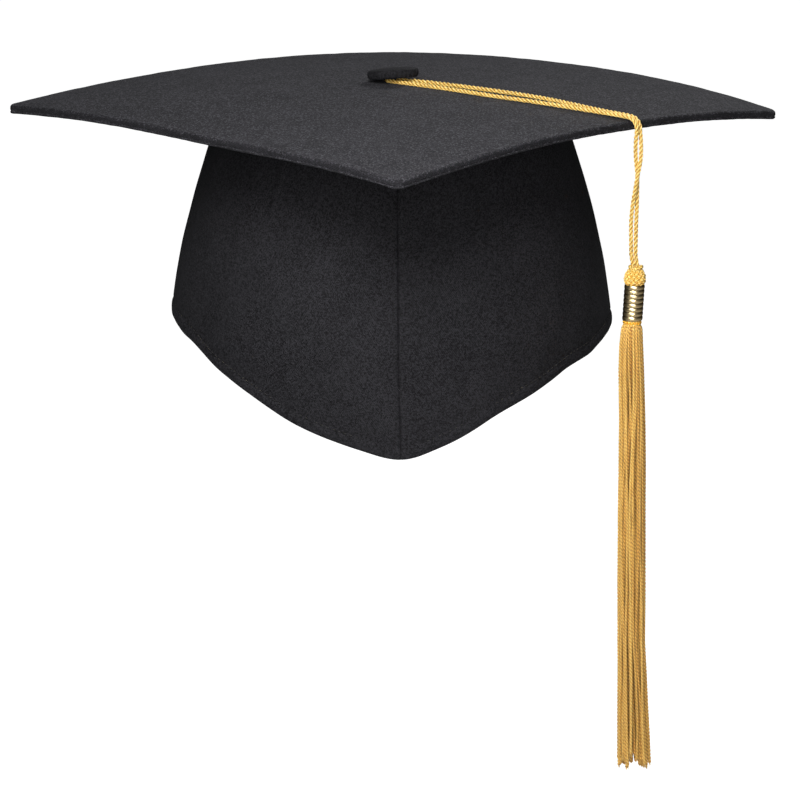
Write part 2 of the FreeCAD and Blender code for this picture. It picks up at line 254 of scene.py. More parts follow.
# ------------ materials
class Nodes:
    """Wires a node tree."""

    def __init__(self, tree):
        self.tree = tree

    def node(self, kind, **settings):
        made = self.tree.nodes.new(kind)
        for key, value in settings.items():
            setattr(made, key, value)
        return made

    def put(self, value, socket):
        if isinstance(value, bpy.types.NodeSocket):
            self.tree.links.new(value, socket)
        else:
            socket.default_value = value

    def fill(self, made, **inputs):
        for key, value in inputs.items():
            self.put(value, made.inputs[key.replace("_", " ")])

    def maths(self, operation, *values, clamp=False):
        made = self.node("ShaderNodeMath", operation=operation, use_clamp=clamp)
        for value, socket in zip(values, made.inputs):
            self.put(value, socket)
        return made.outputs[0]

    def add(self, a, b):
        return self.maths("ADD", a, b)

    def mul(self, a, b):
        return self.maths("MULTIPLY", a, b)

    def split(self, vector):
        made = self.node("ShaderNodeSeparateXYZ")
        self.put(vector, made.inputs[0])
        return made.outputs


class Shader(Nodes):
    """A Principled material."""

    def __init__(self, name):
        self.material = bpy.data.materials.new(name)
        self.material.use_nodes = True
        super().__init__(self.material.node_tree)
        self.principled = self.tree.nodes["Principled BSDF"]

    def stripes(self, along, pitch, phase=0.0):
        """Sine wave from 0 to 1 along a value in mm."""
        turns = self.add(self.mul(along, TAU / pitch), phase)
        return self.add(self.mul(self.maths("SINE", turns), 0.5), 0.5)

    def uv(self):
        return self.node("ShaderNodeUVMap", uv_map="UVMap").outputs[0]

    def field(self, name):
        """A value carried by the mesh's points."""
        return self.node("ShaderNodeAttribute", attribute_name=name).outputs["Fac"]

    def noise(self, per_mm, detail=4.0, roughness=0.6, stretch=(1, 1, 1)):
        """Noise in object space, with about per_mm features to the millimetre."""
        mapping = self.node("ShaderNodeMapping")
        place = self.node("ShaderNodeTexCoord").outputs["Object"]
        self.fill(mapping, Vector=place, Scale=[k * per_mm / MM for k in stretch])
        made = self.node("ShaderNodeTexNoise")
        self.fill(made, Vector=mapping.outputs[0], Scale=1.0, Detail=detail, Roughness=roughness)
        return made.outputs["Fac"]

    def flecks(self, size):
        """Irregular spots of about a size in mm: a random level for each, and distance from its middle."""
        made = self.node("ShaderNodeTexVoronoi", voronoi_dimensions="2D")
        self.fill(made, Vector=self.uv(), Scale=1 / size)
        split = self.node("ShaderNodeSeparateColor")
        self.fill(split, Color=made.outputs["Color"])
        return split.outputs[0], made.outputs["Distance"]

    def facing_up(self):
        """1 on level faces, 0 on upright ones."""
        normal = self.node("ShaderNodeNewGeometry").outputs["True Normal"]
        return self.maths("ABSOLUTE", self.split(normal)[2])

    def ramp(self, value, stops):
        made = self.node("ShaderNodeValToRGB")
        elements = made.color_ramp.elements
        while len(elements) < len(stops):
            elements.new(0.5)
        for element, (position, colour) in zip(elements, stops):
            element.position = position
            element.color = (*colour, 1)
        self.put(value, made.inputs[0])
        return made.outputs[0]

    def span(self, value, low, high):
        """Spreads 0..1 over low..high."""
        return self.add(self.mul(value, high - low), low)

    def bump(self, height, distance_mm):
        made = self.node("ShaderNodeBump")
        self.fill(made, Strength=1.0, Distance=distance_mm * MM, Height=height)
        self.set(Normal=made.outputs[0])

    def set(self, **inputs):
        self.fill(self.principled, **inputs)


DYE = (1.0, 0.975, 1.11)       # the black leans a little towards blue
THREAD_RELIEF = 0.05
RAYON_FIBRE = 0.16
SHEEN_TINT = (0.86, 0.88, 0.95, 1)


def twill(name, shade, thread, sheen=0.01, rough=0.8, speckle_and_glint=0.62, rarity=1.0, upright=1.0):
    """Black twill: diagonal ribs crossed by threads, each with its own shade, and uneven dye. The brightest
    threads are painted glints.

    A high rarity leaves only a few bright threads, the painted glints, and upright is how far they show on
    upright faces, since the painted glints are kept to level faces.
    """
    s = Shader(name)
    u, v, _ = s.split(s.uv())
    diagonal = s.stripes(s.add(s.mul(u, 0.94), s.mul(v, 0.66)), thread * 2.1)
    warp = s.stripes(s.add(u, s.mul(s.noise(0.12), 1.5)), thread)
    weft = s.stripes(v, thread * 0.9)
    weave = s.add(s.mul(diagonal, 0.55), s.mul(s.mul(warp, weft), 0.45))
    # Each fleck is partly a thread's own shade and partly a painted glint: the brightest are painted glints,
    # faded on upright faces.
    fleck_and_glint, from_middle = s.flecks(thread * 1.15)
    cloud = s.noise(0.05, 3.0)
    fleck_and_glint = s.maths("POWER", fleck_and_glint, rarity)
    fleck_and_glint = s.mul(fleck_and_glint, s.span(s.facing_up(), upright, 1.0))
    light = s.add(s.add(s.mul(weave, 0.22), s.mul(fleck_and_glint, speckle_and_glint)), s.mul(cloud, 0.3))
    stops = [(0.18, [shade * 0.3 * k for k in DYE]), (1.0, [shade * 2.1 * k for k in DYE])]
    s.set(Base_Color=s.ramp(light, stops))
    s.set(Roughness=s.span(s.noise(0.08), rough - 0.08, rough + 0.1), Specular_IOR_Level=0.10)
    s.set(Sheen_Weight=sheen, Sheen_Roughness=0.5, Sheen_Tint=SHEEN_TINT)
    s.bump(s.add(weave, s.mul(from_middle, -0.8)), THREAD_RELIEF)
    return s.material


def thread_gold(name, dark, middle, light, rough):
    """Glossy rayon: fine fibres along the cord, with painted shade in the grooves and a painted highlight on
    the crests.
    """
    s = Shader(name)
    u, _, _ = s.split(s.uv())
    fibres = s.stripes(s.add(u, s.mul(s.noise(0.8), 0.5)), RAYON_FIBRE)
    crest = s.field("crest")
    tone = s.field("tone")
    # The crest paints shade into the grooves and a highlight onto the crests; dark and light are these
    # painted colours.
    level = s.add(s.mul(crest, 0.66), s.add(s.mul(fibres, 0.16), s.mul(s.noise(0.25), 0.2)))
    level = s.add(level, s.mul(s.add(tone, -0.5), 0.35))
    s.set(Base_Color=s.ramp(level, [(0.05, dark), (0.5, middle), (0.95, light)]))
    s.set(Roughness=s.span(s.noise(0.5), rough - 0.06, rough + 0.12), Specular_IOR_Level=0.65)
    s.set(Sheen_Weight=0.15, Sheen_Roughness=0.35, Sheen_Tint=(1.0, 0.86, 0.5, 1))
    s.bump(s.add(fibres, s.mul(crest, 0.5)), 0.05)
    return s.material


def metal(name, colour, rough, painted_shade_colour=None):
    """Brushed metal. With a painted shade colour, ribs take painted shade in their grooves and a painted dark
    reflection towards the sides.
    """
    s = Shader(name)
    scratches = s.noise(0.9, 3.0, 0.6, (1, 1, 6))
    base = s.ramp(s.noise(0.06, 3.0), [(0.3, [k * 0.86 for k in colour]), (0.7, colour)])
    if painted_shade_colour is not None:
        facing = s.node("ShaderNodeLayerWeight")
        s.fill(facing, Blend=0.35)
        # Painted shade: darker in the grooves by the crest, and darker towards the sides as a painted dark
        # reflection.
        level = s.mul(s.maths("SUBTRACT", 1.0, facing.outputs["Facing"]), s.span(s.field("crest"), 0.35, 1.0))
        base = s.ramp(level, [(0.30, painted_shade_colour), (0.60, [k * 0.75 for k in colour]), (0.88, colour)])
        s.set(Specular_Tint=(0.42, 0.25, 0.1, 1))
    s.set(Base_Color=base, Metallic=1.0, Roughness=s.span(scratches, rough, rough + 0.14))
    s.bump(scratches, 0.01)
    return s.material


def card(name, colour):
    """Pressed card with visible fibres."""
    s = Shader(name)
    fibres = s.add(s.mul(s.noise(0.5, 6.0, 0.7, (1, 3, 1)), 0.6), s.mul(s.noise(3.0), 0.4))
    s.set(Base_Color=s.ramp(fibres, [(0.3, [k * 0.7 for k in colour]), (0.7, colour)]))
    s.set(Roughness=s.span(s.noise(0.2), 0.8, 0.95), Specular_IOR_Level=0.2)
    s.bump(fibres, 0.06)
    return s.material


BLACK = 0.0130
# The board's cover takes 2.3 times the skullcap's black: painted light for the light that falls on the
# board's top.
cover_cloth = twill(
    "cover_twill_painted_light", BLACK * 2.3, thread=0.44, sheen=0.02, speckle_and_glint=1.15, rarity=4.0, upright=0.2
)
cap_cloth = twill("cap_twill", BLACK, thread=0.40, speckle_and_glint=0.7)
button_cloth = twill("button_twill", BLACK * 0.8, thread=0.36)
lining_cloth = twill("lining_cloth", BLACK * 1.1, thread=0.3, rough=0.62, speckle_and_glint=0.3)
band_cloth = twill("band_cloth", BLACK * 1.6, thread=0.5, speckle_and_glint=0.3)
tape_cloth = twill("seam_tape", BLACK * 1.7, thread=0.55, speckle_and_glint=0.3)
black_thread = thread_gold("black_thread", (0.002,) * 3, (0.005,) * 3, (0.010,) * 3, rough=0.75)
gold_cord = thread_gold(
    "gold_cord", dark=(0.22, 0.078, 0.006), middle=(0.92, 0.51, 0.075), light=(1.0, 0.86, 0.33), rough=0.3
)
gold_strand = thread_gold(
    "gold_strand", dark=(0.34, 0.12, 0.012), middle=(0.93, 0.51, 0.095), light=(1.0, 0.80, 0.27), rough=0.4
)
orange_cord = thread_gold(
    "orange_cord", dark=(0.9, 0.24, 0.01), middle=(1.0, 0.42, 0.015), light=(1.0, 0.66, 0.07), rough=0.3
)
gold_metal = metal("gilt_barrel", (1.0, 0.78, 0.42), 0.24, painted_shade_colour=(0.10, 0.045, 0.014))
# The rivet's near-black is painted shade for the shadow under the button.
steel_in_painted_shade = metal("rivet_steel_painted_shade", (0.05, 0.048, 0.045), 0.5)
tin = metal("button_tin", (0.6, 0.6, 0.6), 0.35)
board_card = card("board_card", (0.05, 0.05, 0.05))
stiffener_card = card("stiffener_card", (0.3, 0.26, 0.2))

# ------------ board
TOP_LOW, TOP_HIGH = box_mm("board_cover_top")
_, UNDER_HIGH = box_mm("board_cover_under")
_, CORE_HIGH = box_mm("board_core")
HALF_DIAGONAL = TOP_HIGH[0]
CORNER_R = 5.0
HALF_SIDE = (HALF_DIAGONAL - CORNER_R) / math.sqrt(2) + CORNER_R
TOP_Z = TOP_HIGH[2]
CLOTH = TOP_HIGH[2] - CORE_HIGH[2] - 0.05
APEX_LOW = UNDER_HIGH[2] - CLOTH
BOARD_T = TOP_Z - APEX_LOW
DROOP = APEX_LOW - TOP_LOW[2]
BOW_R = (HALF_DIAGONAL**2 + DROOP**2) / (2 * DROOP)
BOW_ACROSS, BOW_ALONG = 0.93, 1.065     # the cloth-covered board droops less at the sides than at the front


def bow(x, y):
    """Height lost at a place on the board: a dome, a little out of true at its front edges and side tips."""
    reach = np.hypot(BOW_ACROSS * x, BOW_ALONG * y)
    dome = BOW_R - np.sqrt(BOW_R**2 - reach**2)
    out = np.abs(x) + np.abs(y)
    sideways = np.abs(x) / np.maximum(out, 1e-6)
    front = np.where(y < 0, np.clip(out / HALF_DIAGONAL, 0, 1) ** 2 * smoothstep(0, 0.15, sideways), 0)
    edge = np.where(x < 0, 2.3 * bump(sideways, 0.45, 0.25), -0.7 * bump(sideways, 0.36, 0.2))
    tips = 2.6 * np.clip((x - 105) / 65, 0, None) ** 2 - 0.9 * np.clip((-x - 90) / 80, 0, None) ** 2
    return dome + front * edge + tips


def board_outline(count):
    """Points and outward directions round the board's rounded square, at even spacing."""
    straight = 2 * (HALF_SIDE - CORNER_R)
    arc = CORNER_R * math.pi / 2
    side = straight + arc
    s = (np.arange(count) + 0.5) / count * 4 * side
    quarter, along = np.floor(s / side), s % side
    on_arc = np.clip(along - straight, 0, None) / CORNER_R
    x = np.where(along < straight, along - straight / 2, straight / 2 + CORNER_R * np.sin(on_arc))
    y = np.where(along < straight, -HALF_SIDE, -HALF_SIDE + CORNER_R * (1 - np.cos(on_arc)))
    turn = quarter * math.pi / 2 + math.pi / 4
    normal = points_at(*rotated(1.0, 0.0, on_arc - math.pi / 2 + turn))
    return points_at(*rotated(x, y, turn)), normal, s


def unfold(xy):
    """Cloth coordinates along the board's sides."""
    return points_at(*rotated(*xy.T, -math.pi / 4))


def corner_nearness(xy):
    """1 at the board's corners, 0 a little way from them."""
    return smoothstep(HALF_DIAGONAL - 16, HALF_DIAGONAL - 2, np.abs(xy).max(axis=1))


def with_distance(profile, start):
    """Pairs of a profile, each with the distance walked from the start."""
    travelled = 0.0
    for pair in profile:
        travelled += math.dist(pair, start)
        start = pair
        yield *pair, travelled


COVER_FOLD, COVER_LOW_FOLD, COVER_LAP = 1.15, 0.8, 7.0
EDGE_SEAM_UP = 1.25      # seam line along the rim, above its lower fold


def cover_top_rows(rim, puckers):
    """Rows of the cover from the middle of the board out to the fold at its rim."""
    rows, uvs = [], []
    for share in 1 - (1 - np.linspace(0, 1, 86)) ** 1.25:
        xy = rim * max(share, 1e-3)
        x, y = xy[:, 0], xy[:, 1]
        soft = 0.16 * waves(x, y, 70, 7, 5) + 0.03 * waves(x, y, 16, 6, 6)
        near_rim = smoothstep(0.93, 1.0, share)
        crease = bump(y - 0.25 * x, 114, 3.0) * smoothstep(-70, -50, x) * (1 - smoothstep(-32, -12, x))
        z = TOP_Z - bow(x, y) + soft * (1 - near_rim) - near_rim * (0.10 + 0.1 * puckers) - 0.3 * crease
        rows.append(points_at(x, y, z))
        uvs.append(unfold(xy))
    return rows, uvs


def cover_edge_profile():
    """The cover's path round the rim, as distance out from the top's edge and fall below it."""
    edge = BOARD_T - COVER_FOLD - COVER_LOW_FOLD
    profile = [
        (COVER_FOLD * math.sin(a), COVER_FOLD * (1 - math.cos(a)))
        for a in np.linspace(0.25, math.pi / 2, 6)
    ]
    profile += [(COVER_FOLD, COVER_FOLD + edge * k) for k in np.linspace(0.12, 1, 9)]
    profile += [
        (COVER_FOLD - COVER_LOW_FOLD * (1 - math.cos(a)), COVER_FOLD + edge + COVER_LOW_FOLD * math.sin(a))
        for a in np.linspace(0.3, math.pi / 2, 5)
    ]
    under = COVER_FOLD - COVER_LOW_FOLD
    profile += [(under - k, BOARD_T) for k in (1, 2.5, 4.5, COVER_LAP)]
    return profile + [(under - COVER_LAP + 0.05, BOARD_T - 0.5)]


def make_board_cover():
    """Cloth over the board's top, wrapped round its edge and lapped underneath."""
    place, normal, s = board_outline(1040)
    rim = place - normal * COVER_FOLD
    puckers = waves(s, 0 * s, 26, 8, 3)
    fine = waves(s, 0 * s, 7, 6, 4)
    corner = corner_nearness(place)
    rows, uvs = cover_top_rows(rim, puckers)
    for out, fall, travelled in with_distance(cover_edge_profile(), (0.0, 0.0)):
        seam = bump(fall, BOARD_T - EDGE_SEAM_UP, 0.28) * smoothstep(0.6, 0.9, out)
        band = smoothstep(0.3, 1.2, fall) * smoothstep(0, 0.4, out)
        shift = out - 0.3 * seam + band * (0.1 * puckers + 0.05 * fine) + 0.25 * corner * fine * band
        low = smoothstep(2.5, 3.8, fall)
        uneven = 0.1 * (1 + puckers) * (1 - low) - low * (0.12 * puckers + 0.06 * fine)
        xy = rim + normal * shift[:, None]
        z = TOP_Z - bow(xy[:, 0], xy[:, 1]) - fall - uneven
        rows.append(points_at(*xy.T, z))
        uvs.append(unfold(rim + normal * travelled))
    b = Builder()
    b.grid(np.stack(rows), np.stack(uvs), wrap=True)
    b.make("board_cover", cover_cloth, "cap", "board_cover_top", slot="cover_cloth")


def make_board_underside():
    """Cloth glued under the board, its rim under the cover's lap."""
    place, normal, _ = board_outline(520)
    rim = place - normal * 4.2
    rows, uvs = [], []
    for share in np.linspace(0.001, 1, 60):
        xy = rim * share
        soft = 0.12 * waves(xy[:, 0], xy[:, 1], 60, 7, 15)
        edge = smoothstep(0.965, 1.0, share)
        z = APEX_LOW - bow(xy[:, 0], xy[:, 1]) - 0.42 - soft * (1 - edge) + 0.35 * edge
        rows.append(points_at(*xy.T, z))
        uvs.append(unfold(xy))
    b = Builder()
    b.grid(np.stack(rows), np.stack(uvs), wrap=True, flip=True)
    b.make("board_underside", cover_cloth, "cap", "board_cover_under", slot="cover_cloth")


def make_board_core():
    """The stiff board inside the cloth."""
    place, normal, _ = board_outline(260)
    rim = place - normal * (CLOTH + 0.3)
    low, high = BOARD_T - CLOTH - 0.15, CLOTH + 0.3
    rings = [(share, high) for share in np.linspace(0.001, 1, 30)]
    rings += [(share, low) for share in np.linspace(1, 0.001, 30)]
    x, y = rim.T
    p = np.stack([points_at(x * k, y * k, TOP_Z - bow(x * k, y * k) - fall) for k, fall in rings])
    b = Builder()
    b.grid(p, wrap=True)
    b.make("board_stiff_core", board_card, "cap", "board_core", slot="board_card")


# ------------ skullcap
FRONT_LOW, FRONT_HIGH = box_mm("front_panel_left")
REAR_LOW, _ = box_mm("rear_panel")
_, BAND_HIGH = box_mm("sweatband")
HALF_X, HALF_Y = FRONT_HIGH[0], -FRONT_LOW[1]
SIDE_HEM = -95.7         # height of the hem at the sides
WIDEST = -98.3           # height at which the cap is widest
NARROWING_HEIGHT = 102.0
TOP_NARROWING = 0.25     # share of the width lost at the top
SIDE_SHIFT_OF_CAP = -0.8
HEM_R, WALL_R = 95.0, 92.0     # mean radii that turn angles into distances along the cloth
FRONT_DROP = SIDE_HEM - FRONT_LOW[2]
REAR_DROP = SIDE_HEM - REAR_LOW[2]
WALL = 1.2
SEAM_PHI = math.asin(BAND_HIGH[1] / HALF_Y)
FRONT_PHI = -math.pi / 2
CROWN_LOW, CROWN_HIGH = box_mm("crown_lining")


def cap_scale(z):
    """Width of the skullcap at a height, as a share of its width at the widest level."""
    rise = np.clip(z - WIDEST, 0, None) / NARROWING_HEIGHT
    return 1 - TOP_NARROWING * rise**1.5


def twist(z):
    """The soft skullcap sits turned a little under the board, more so at its hem."""
    return np.radians(1.2 + 0.6 * smoothstep(-95, -140, z))


def hem_height(phi):
    """Height of the hem, pointed in front, with the unevenness of soft cloth."""
    place = phi + math.radians(1.7) * (1 - bump(np.cos(phi), 0, 0.3))
    sine = np.abs(np.sin(place))
    angle = np.degrees(np.arcsin(np.clip(sine, 0, 1)))
    front = FRONT_DROP * 1.005 * (0.62 * sine**3 + 0.38 * (angle / 90) ** 1.2)
    near_side = 0.8 * (1 - smoothstep(5, 45, angle))
    front = front - 1.1 * bump(angle, 62, 13) + 0.8 * bump(angle, 87, 5) + near_side
    uneven = -2.6 * (1 - smoothstep(24, 41, angle)) + 1.4 * bump(angle, 63, 12)
    front = front + np.where(np.cos(place) < 0, uneven, -uneven)
    rear = REAR_DROP * sine**3 - np.where(np.cos(place) < 0, 2.6, -2.6) * (1 - smoothstep(10, 60, angle))
    rear = rear + near_side
    fall = np.where(np.sin(place) < 0, front, rear)
    return SIDE_HEM - fall + 0.2 * waves(phi * HEM_R, 0 * phi, 60, 5, 21)


def seam_distance(phi, centre):
    """Distance in mm from a seam, along the cloth."""
    away = (phi - centre + math.pi) % TAU - math.pi
    return away * HEM_R


def gathers(phi):
    """How strongly the elastic gathers the cloth."""
    away = np.abs((phi - math.pi / 2 + math.pi) % TAU - math.pi)
    return 1 - smoothstep(math.radians(58), math.radians(76), away)


def wall_arc(degrees):
    return math.radians(degrees) * WALL_R


def seam_and_hem_relief(phi, arc, h):
    """Dips at the seams, the rolled hem and the line of its stitches."""
    out = 0.34 * bump(h, 2.6, 2.4) - 0.42 * bump(h, 5.6, 0.8)
    for seam in (FRONT_PHI, SEAM_PHI, math.pi - SEAM_PHI):
        d = np.abs(seam_distance(phi, seam))
        out = out - 0.5 * np.exp(-d / 0.55) + 0.12 * bump(d, 2.6, 2.0)
    return out + 0.13 * np.sin(arc * TAU / 3.1 + 1.3 * np.sin(arc / 9)) * bump(h, 5.2, 2.2)


def pleats(arc, z):
    """A faint pleat high on the front right panel, and a shallow fold lower down."""
    pleat = arc - wall_arc(-128) - 0.10 * (z + 25)
    fold = arc - wall_arc(-103) + 0.02 * (z + 90)
    high = smoothstep(-55, -32, z) * (1 - smoothstep(-16, -6, z))
    return 0.55 * bump(pleat, 0, 1.6) * high - 0.4 * bump(fold, 0, 2.0) * bump(z, -96, 16)


def gathering(phi, arc, h):
    """Folds that the elastic gathers at the back, fading upwards."""
    strength = gathers(phi) * np.exp(-np.clip(h - 12, 0, None) / 26.0)
    swing = np.sin(arc * TAU / 8.2 + 1.9 * np.sin(arc / 13) + 0.012 * h * np.sin(arc / 5))
    return strength * (1.25 * swing + 0.45 * np.sin(arc * TAU / 4.4 + 2) - 0.7)


def drape(phi, h, z):
    """How far the skullcap's cloth stands out from its smooth shape, in mm."""
    arc = phi * WALL_R
    broad = 0.55 * waves(arc, h, 95, 6, 31, 0.6) + 0.16 * waves(arc, h, 26, 6, 32, 0.5)
    broad = broad * (1 - 0.8 * smoothstep(-42, -2, z))
    return broad + seam_and_hem_relief(phi, arc, h) + pleats(arc, z) + gathering(phi, arc, h)


def wall_point(phi, h, z, inset):
    """Point of the skullcap's wall, inset from its outer face."""
    share = cap_scale(z)
    out = drape(phi, h, z) - inset
    a, b = HALF_X * share, HALF_Y * share
    turned_phi = phi + twist(z)
    nx, ny = np.cos(turned_phi) / a, np.sin(turned_phi) / b
    size = np.hypot(nx, ny)
    x = a * np.cos(turned_phi) + out * nx / size + SIDE_SHIFT_OF_CAP
    y = b * np.sin(turned_phi) + out * ny / size
    return points_at(x, y, z)


def top_height(phi):
    """Height at which the wall meets the underside of the board."""
    crown = cap_scale(0.0)
    return APEX_LOW - bow(HALF_X * crown * np.cos(phi), HALF_Y * crown * np.sin(phi)) - 0.5


def cloth_strip(phi, low, high, inset, thickness, rows, wall_from=0.0, edge=0.5):
    """Closed strip of cloth standing on the wall: outside up-to-down, round the hem, and up inside."""
    hem = hem_height(phi)
    top = np.minimum(high(phi) if callable(high) else hem + high, top_height(phi) - wall_from)
    bottom = hem + low
    t = np.linspace(0, 1, rows)
    grid, uv = [], []
    arc = phi * HEM_R

    def line(z, extra):
        h = z - hem
        grid.append(wall_point(phi, h, z, inset + extra))
        uv.append(points_at(arc, z - extra))

    line(top - 0.02, thickness * 0.5)
    for k in t:
        line(top + (bottom + edge - top) * k, 0.0)
    for a in np.linspace(0, math.pi, 9)[1:-1]:
        line(bottom + edge * (1 - math.sin(a)), thickness * (1 - math.cos(a)) / 2)
    for k in t[::-1]:
        line(top + (bottom + edge - top) * k, thickness)
    line(top - 0.02, thickness * 0.5)
    return np.stack(grid), np.stack(uv)


def close_ends(p, uv):
    """Pulls the first and last columns to the strip's middle, which closes its ends."""
    middle = (p + p[::-1]) / 2
    first, last = middle[:, :1], middle[:, -1:]
    p = np.concatenate([first, p, last], axis=1)
    uv = np.concatenate([uv[:, :1], uv, uv[:, -1:]], axis=1)
    return p, uv


def make_strip(name, material, node, slot, spans, rows, step, **shape):
    """One cloth piece of the skullcap, made of a closed strip over each span of angles."""
    b = Builder()
    for start, end in spans:
        count = max(8, int(abs(end - start) * HEM_R / step))
        phi = np.linspace(start, end, count)
        b.grid(*close_ends(*cloth_strip(phi, rows=rows, **shape)))
    b.make(name, material, "cap", node, slot=slot)


STITCH_LIFT = 0.1
STITCH_LENGTH = 2.0


def add_stitches(b, points, normals, pitch, radius):
    """Row of short threads lying on the cloth along a line of points."""
    s = lengths(points)
    count = int(s[-1] / pitch)
    for i in range(count):
        at = np.linspace(i * pitch, i * pitch + STITCH_LENGTH, 7)
        arch = np.sin(np.linspace(0, math.pi, 7)) * radius * 1.3 + STITCH_LIFT - radius
        path = sample(points, s, at) + sample(normals, s, at) * arch[:, None]
        p, uv, crest = rope_grid(path, radius, 3, 1.2, 8, shrink=end_taper(7, 2))
        b.grid(p, uv, wrap=True, crest=crest)


def wall_line(phi, h, inset=0.0):
    """Line on the wall at a height above the hem, with outward directions."""
    z = hem_height(phi) + h
    points = wall_point(phi, np.broadcast_to(h, phi.shape), z, inset)
    further = wall_point(phi, np.broadcast_to(h, phi.shape), z, inset - 1.0)
    out = further - points
    return points, out / np.linalg.norm(out, axis=1, keepdims=True)


HEM_STITCH_UP = 5.6
BAND_STITCH_UP = 28.0
LOOP_PHI = (0, TAU)


def make_skullcap():
    """The three panels, seen from outside, and the stitches along their hem."""
    gap = 0.02 / HEM_R
    panels = {
        "front_panel_right": (-math.pi - SEAM_PHI + gap, FRONT_PHI - gap),
        "front_panel_left": (FRONT_PHI + gap, SEAM_PHI - gap),
        "rear_panel": (SEAM_PHI + gap, math.pi - SEAM_PHI - gap),
    }
    for name, span in panels.items():
        make_strip(f"cloth_{name}", cap_cloth, name, "cap_cloth", [span], 110, 0.7,
                   low=0.0, high=top_height, inset=0.0, thickness=WALL)
    b = Builder()
    line = wall_line(np.linspace(*LOOP_PHI, 1500), HEM_STITCH_UP)
    add_stitches(b, *line, pitch=2.7, radius=0.17)
    b.make("panel_stitches", black_thread, "cap", slot="cap_cloth")


def make_sweatband():
    """Band sewn inside the two front panels, and at the back the elastic in its casing."""
    front = (-math.pi - SEAM_PHI + 0.002, SEAM_PHI - 0.002)
    elastic = (SEAM_PHI + 0.04, math.pi - SEAM_PHI - 0.04)
    casing = (SEAM_PHI + 0.002, math.pi - SEAM_PHI - 0.002)
    make_strip("cloth_sweatband", band_cloth, "sweatband", "band", [front], 26, 0.9,
               low=1.2, high=30.0, inset=WALL + 0.15, thickness=0.8, wall_from=2)
    make_strip("ribbed_elastic", band_cloth, "elastic_band", "elastic", [elastic], 12, 0.8,
               low=3.2, high=18.0, inset=WALL + 0.1, thickness=0.9, wall_from=2)
    make_strip("cloth_elastic_casing", cap_cloth, "elastic_casing", "cap_cloth", [casing], 26, 0.8,
               low=1.2, high=30.0, inset=WALL + 1.25, thickness=0.7, wall_from=2)


def make_seam_tapes():
    half = 6.0 / 80
    shape = dict(low=31.0, high=top_height, inset=WALL + 0.1, thickness=0.6, wall_from=1.5)
    front = [(FRONT_PHI - half, FRONT_PHI + half)]
    sides = [(seam - half, seam + half) for seam in (SEAM_PHI, math.pi - SEAM_PHI)]
    make_strip("cloth_front_seam_tape", tape_cloth, "front_seam_tape", "tape", front, 60, 0.5, **shape)
    make_strip("cloth_side_seam_tapes", tape_cloth, "side_seam_tapes", "tape", sides, 60, 0.5, **shape)


def make_inner_stitches():
    b = Builder()
    phi = np.linspace(*LOOP_PHI, 1400)
    for h in (HEM_STITCH_UP, BAND_STITCH_UP):
        points, out = wall_line(phi, h, WALL + 0.15 + 0.8)
        points = points - out * gathers(phi)[:, None]
        add_stitches(b, points, -out, pitch=2.9, radius=0.16)
    b.make("inner_stitches", black_thread, "cap", slot="band")


def make_crown_lining():
    """Lining under the board, puckered where it meets the wall."""
    b = Builder()
    rows = []
    angle = np.linspace(0, TAU, 361)[:-1]
    for share in np.linspace(0.001, 1, 60):
        x, y = CROWN_HIGH[0] * share * np.cos(angle), CROWN_HIGH[1] * share * np.sin(angle)
        pucker = 0.5 * smoothstep(0.72, 1.0, share) * np.sin(angle * 46 + 2 * np.sin(angle * 5))
        edge = 0.6 * smoothstep(0.95, 1, share)
        z = CROWN_LOW[2] + 0.12 * waves(x, y, 40, 6, 51) * smoothstep(0.15, 0.5, share) - pucker + edge
        rows.append(points_at(x, y, z))
    p = np.stack(rows)
    b.grid(p, p[..., :2], wrap=True, flip=True)
    b.make("cloth_crown_lining", lining_cloth, "cap", "crown_lining", slot="lining")


# ------------ button
BUTTON_R, BUTTON_HEIGHT = 11.3, 4.0
BUTTON_RIM, BUTTON_TUCK = 1.7, 0.9     # height of the widest ring; depth of the cloth's tuck under the back
BUTTON_PLEATS = 34


def button_profile():
    """Radius and height from the middle of the button's crown, round its edge and under it."""
    profile = [
        (BUTTON_R * math.sin(t), BUTTON_RIM + (BUTTON_HEIGHT - BUTTON_RIM) * max(0.0, math.cos(t)) ** 0.5)
        for t in np.linspace(0.001, math.pi / 2, 48)
    ]
    profile += [
        (BUTTON_R - 1.5 * (1 - math.cos(t)), BUTTON_RIM - (BUTTON_RIM + BUTTON_TUCK) * math.sin(t))
        for t in np.linspace(0.1, math.pi / 2, 16)
    ]
    return profile + [(9.3, 0.12 - BUTTON_TUCK), (8.8, 0.2)]


def make_button():
    """Cloth cover of the button, gathered into small pleats round its underside."""
    spin = joint("button_spin")
    axis = np.array(spin["axis"], float)
    axis /= np.linalg.norm(axis)
    base = np.array(spin["pos_m"], float) / MM
    side = np.cross([0.0, 1.0, 0.0], axis)
    side /= np.linalg.norm(side)
    forward = np.cross(axis, side)
    angle = np.arange(320) / 320 * TAU
    rows, uvs = [], []
    for r, z, travelled in with_distance(button_profile(), (0.0, BUTTON_HEIGHT)):
        under = smoothstep(BUTTON_RIM + 0.9, 0.3, z)
        pleat = 0.16 * under * np.sin(angle * BUTTON_PLEATS + 1.5 * np.sin(angle * 3))
        soft = 0.07 * waves(r * np.cos(angle), r * np.sin(angle), 14, 6, 61)
        rr = r + pleat
        zz = z + soft * smoothstep(0, 4, r) * (z > BUTTON_RIM)
        flat = np.outer(rr * np.cos(angle), side) + np.outer(rr * np.sin(angle), forward)
        rows.append(base + flat + np.outer(zz, axis))
        uvs.append(points_at(travelled * np.cos(angle), travelled * np.sin(angle)))
    b = Builder()
    b.grid(np.stack(rows), np.stack(uvs), wrap=True)
    b.make("cloth_button_cover", button_cloth, "button", "button_cover", slot="cover_cloth")


